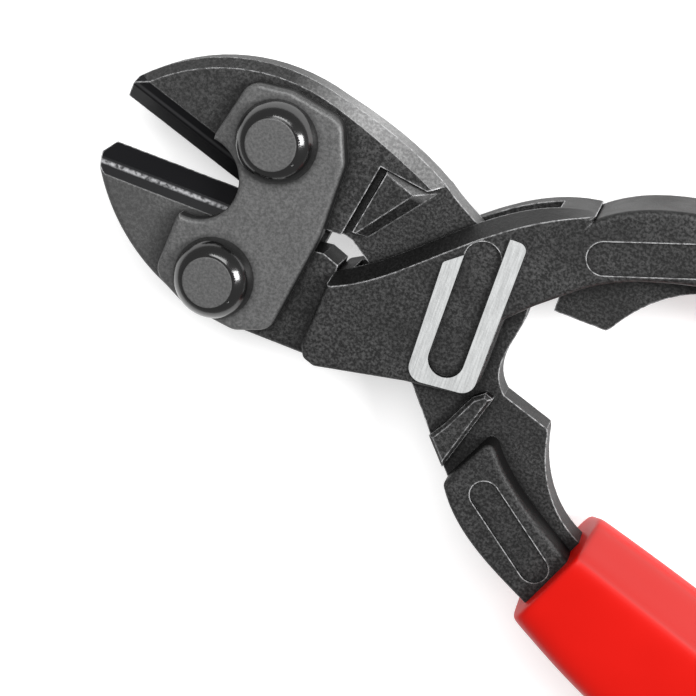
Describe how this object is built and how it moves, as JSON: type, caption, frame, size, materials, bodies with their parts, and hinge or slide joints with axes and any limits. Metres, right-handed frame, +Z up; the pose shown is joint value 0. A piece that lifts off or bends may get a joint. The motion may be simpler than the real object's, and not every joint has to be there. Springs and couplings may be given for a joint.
{
  "type": "bolt cutters",
  "caption": "Compact lever-action bolt cutters: two crossing forged levers joined by riveted link plates, with dipped grips.",
  "frame": {"origin": "middle of the tool's footprint on the surface it lies on", "axes": "+X along the centreline from the blades to the grips, +Z up through the tool's thickness, +Y towards the upper handle"},
  "size_m": [0.2, 0.1068, 0.0204],
  "materials": {
    "forged_steel": "blasted and blackened forging, ground bright on the raised pad",
    "plate_steel": "dark satin",
    "rivet_steel": "blackened cone with a satin face",
    "grip_vinyl": "smooth dipped vinyl"
  },
  "bodies": {
    "lower_jaw_lever": {"lower_jaw_lever": "forged_steel", "upper_grip": "grip_vinyl", "guide_pin": "rivet_steel"},
    "link_plates": {"front_link_plate": "plate_steel", "rear_link_plate": "plate_steel", "upper_rivet": "rivet_steel", "lower_rivet": "rivet_steel"},
    "upper_jaw_lever": {"upper_jaw_lever": "forged_steel", "lower_grip": "grip_vinyl"}
  },
  "joints": [
    {"name": "link_swing", "type": "hinge", "parent": "lower_jaw_lever", "child": "link_plates", "pos_m": [-0.07515, 0.00738, 0.0102], "axis": [0, 0, 1], "range_deg": [-2.66, 7.75]},
    {"name": "lever_turn", "type": "hinge", "parent": "link_plates", "child": "upper_jaw_lever", "pos_m": [-0.07205, 0.03178, 0.0102], "axis": [0, 0, 1], "range_deg": [-3.34, 9.75]}
  ],
  "couplings": [
    {"joint": "link_swing", "follows": "lever_turn", "ratio": 0.79412}
  ]
}
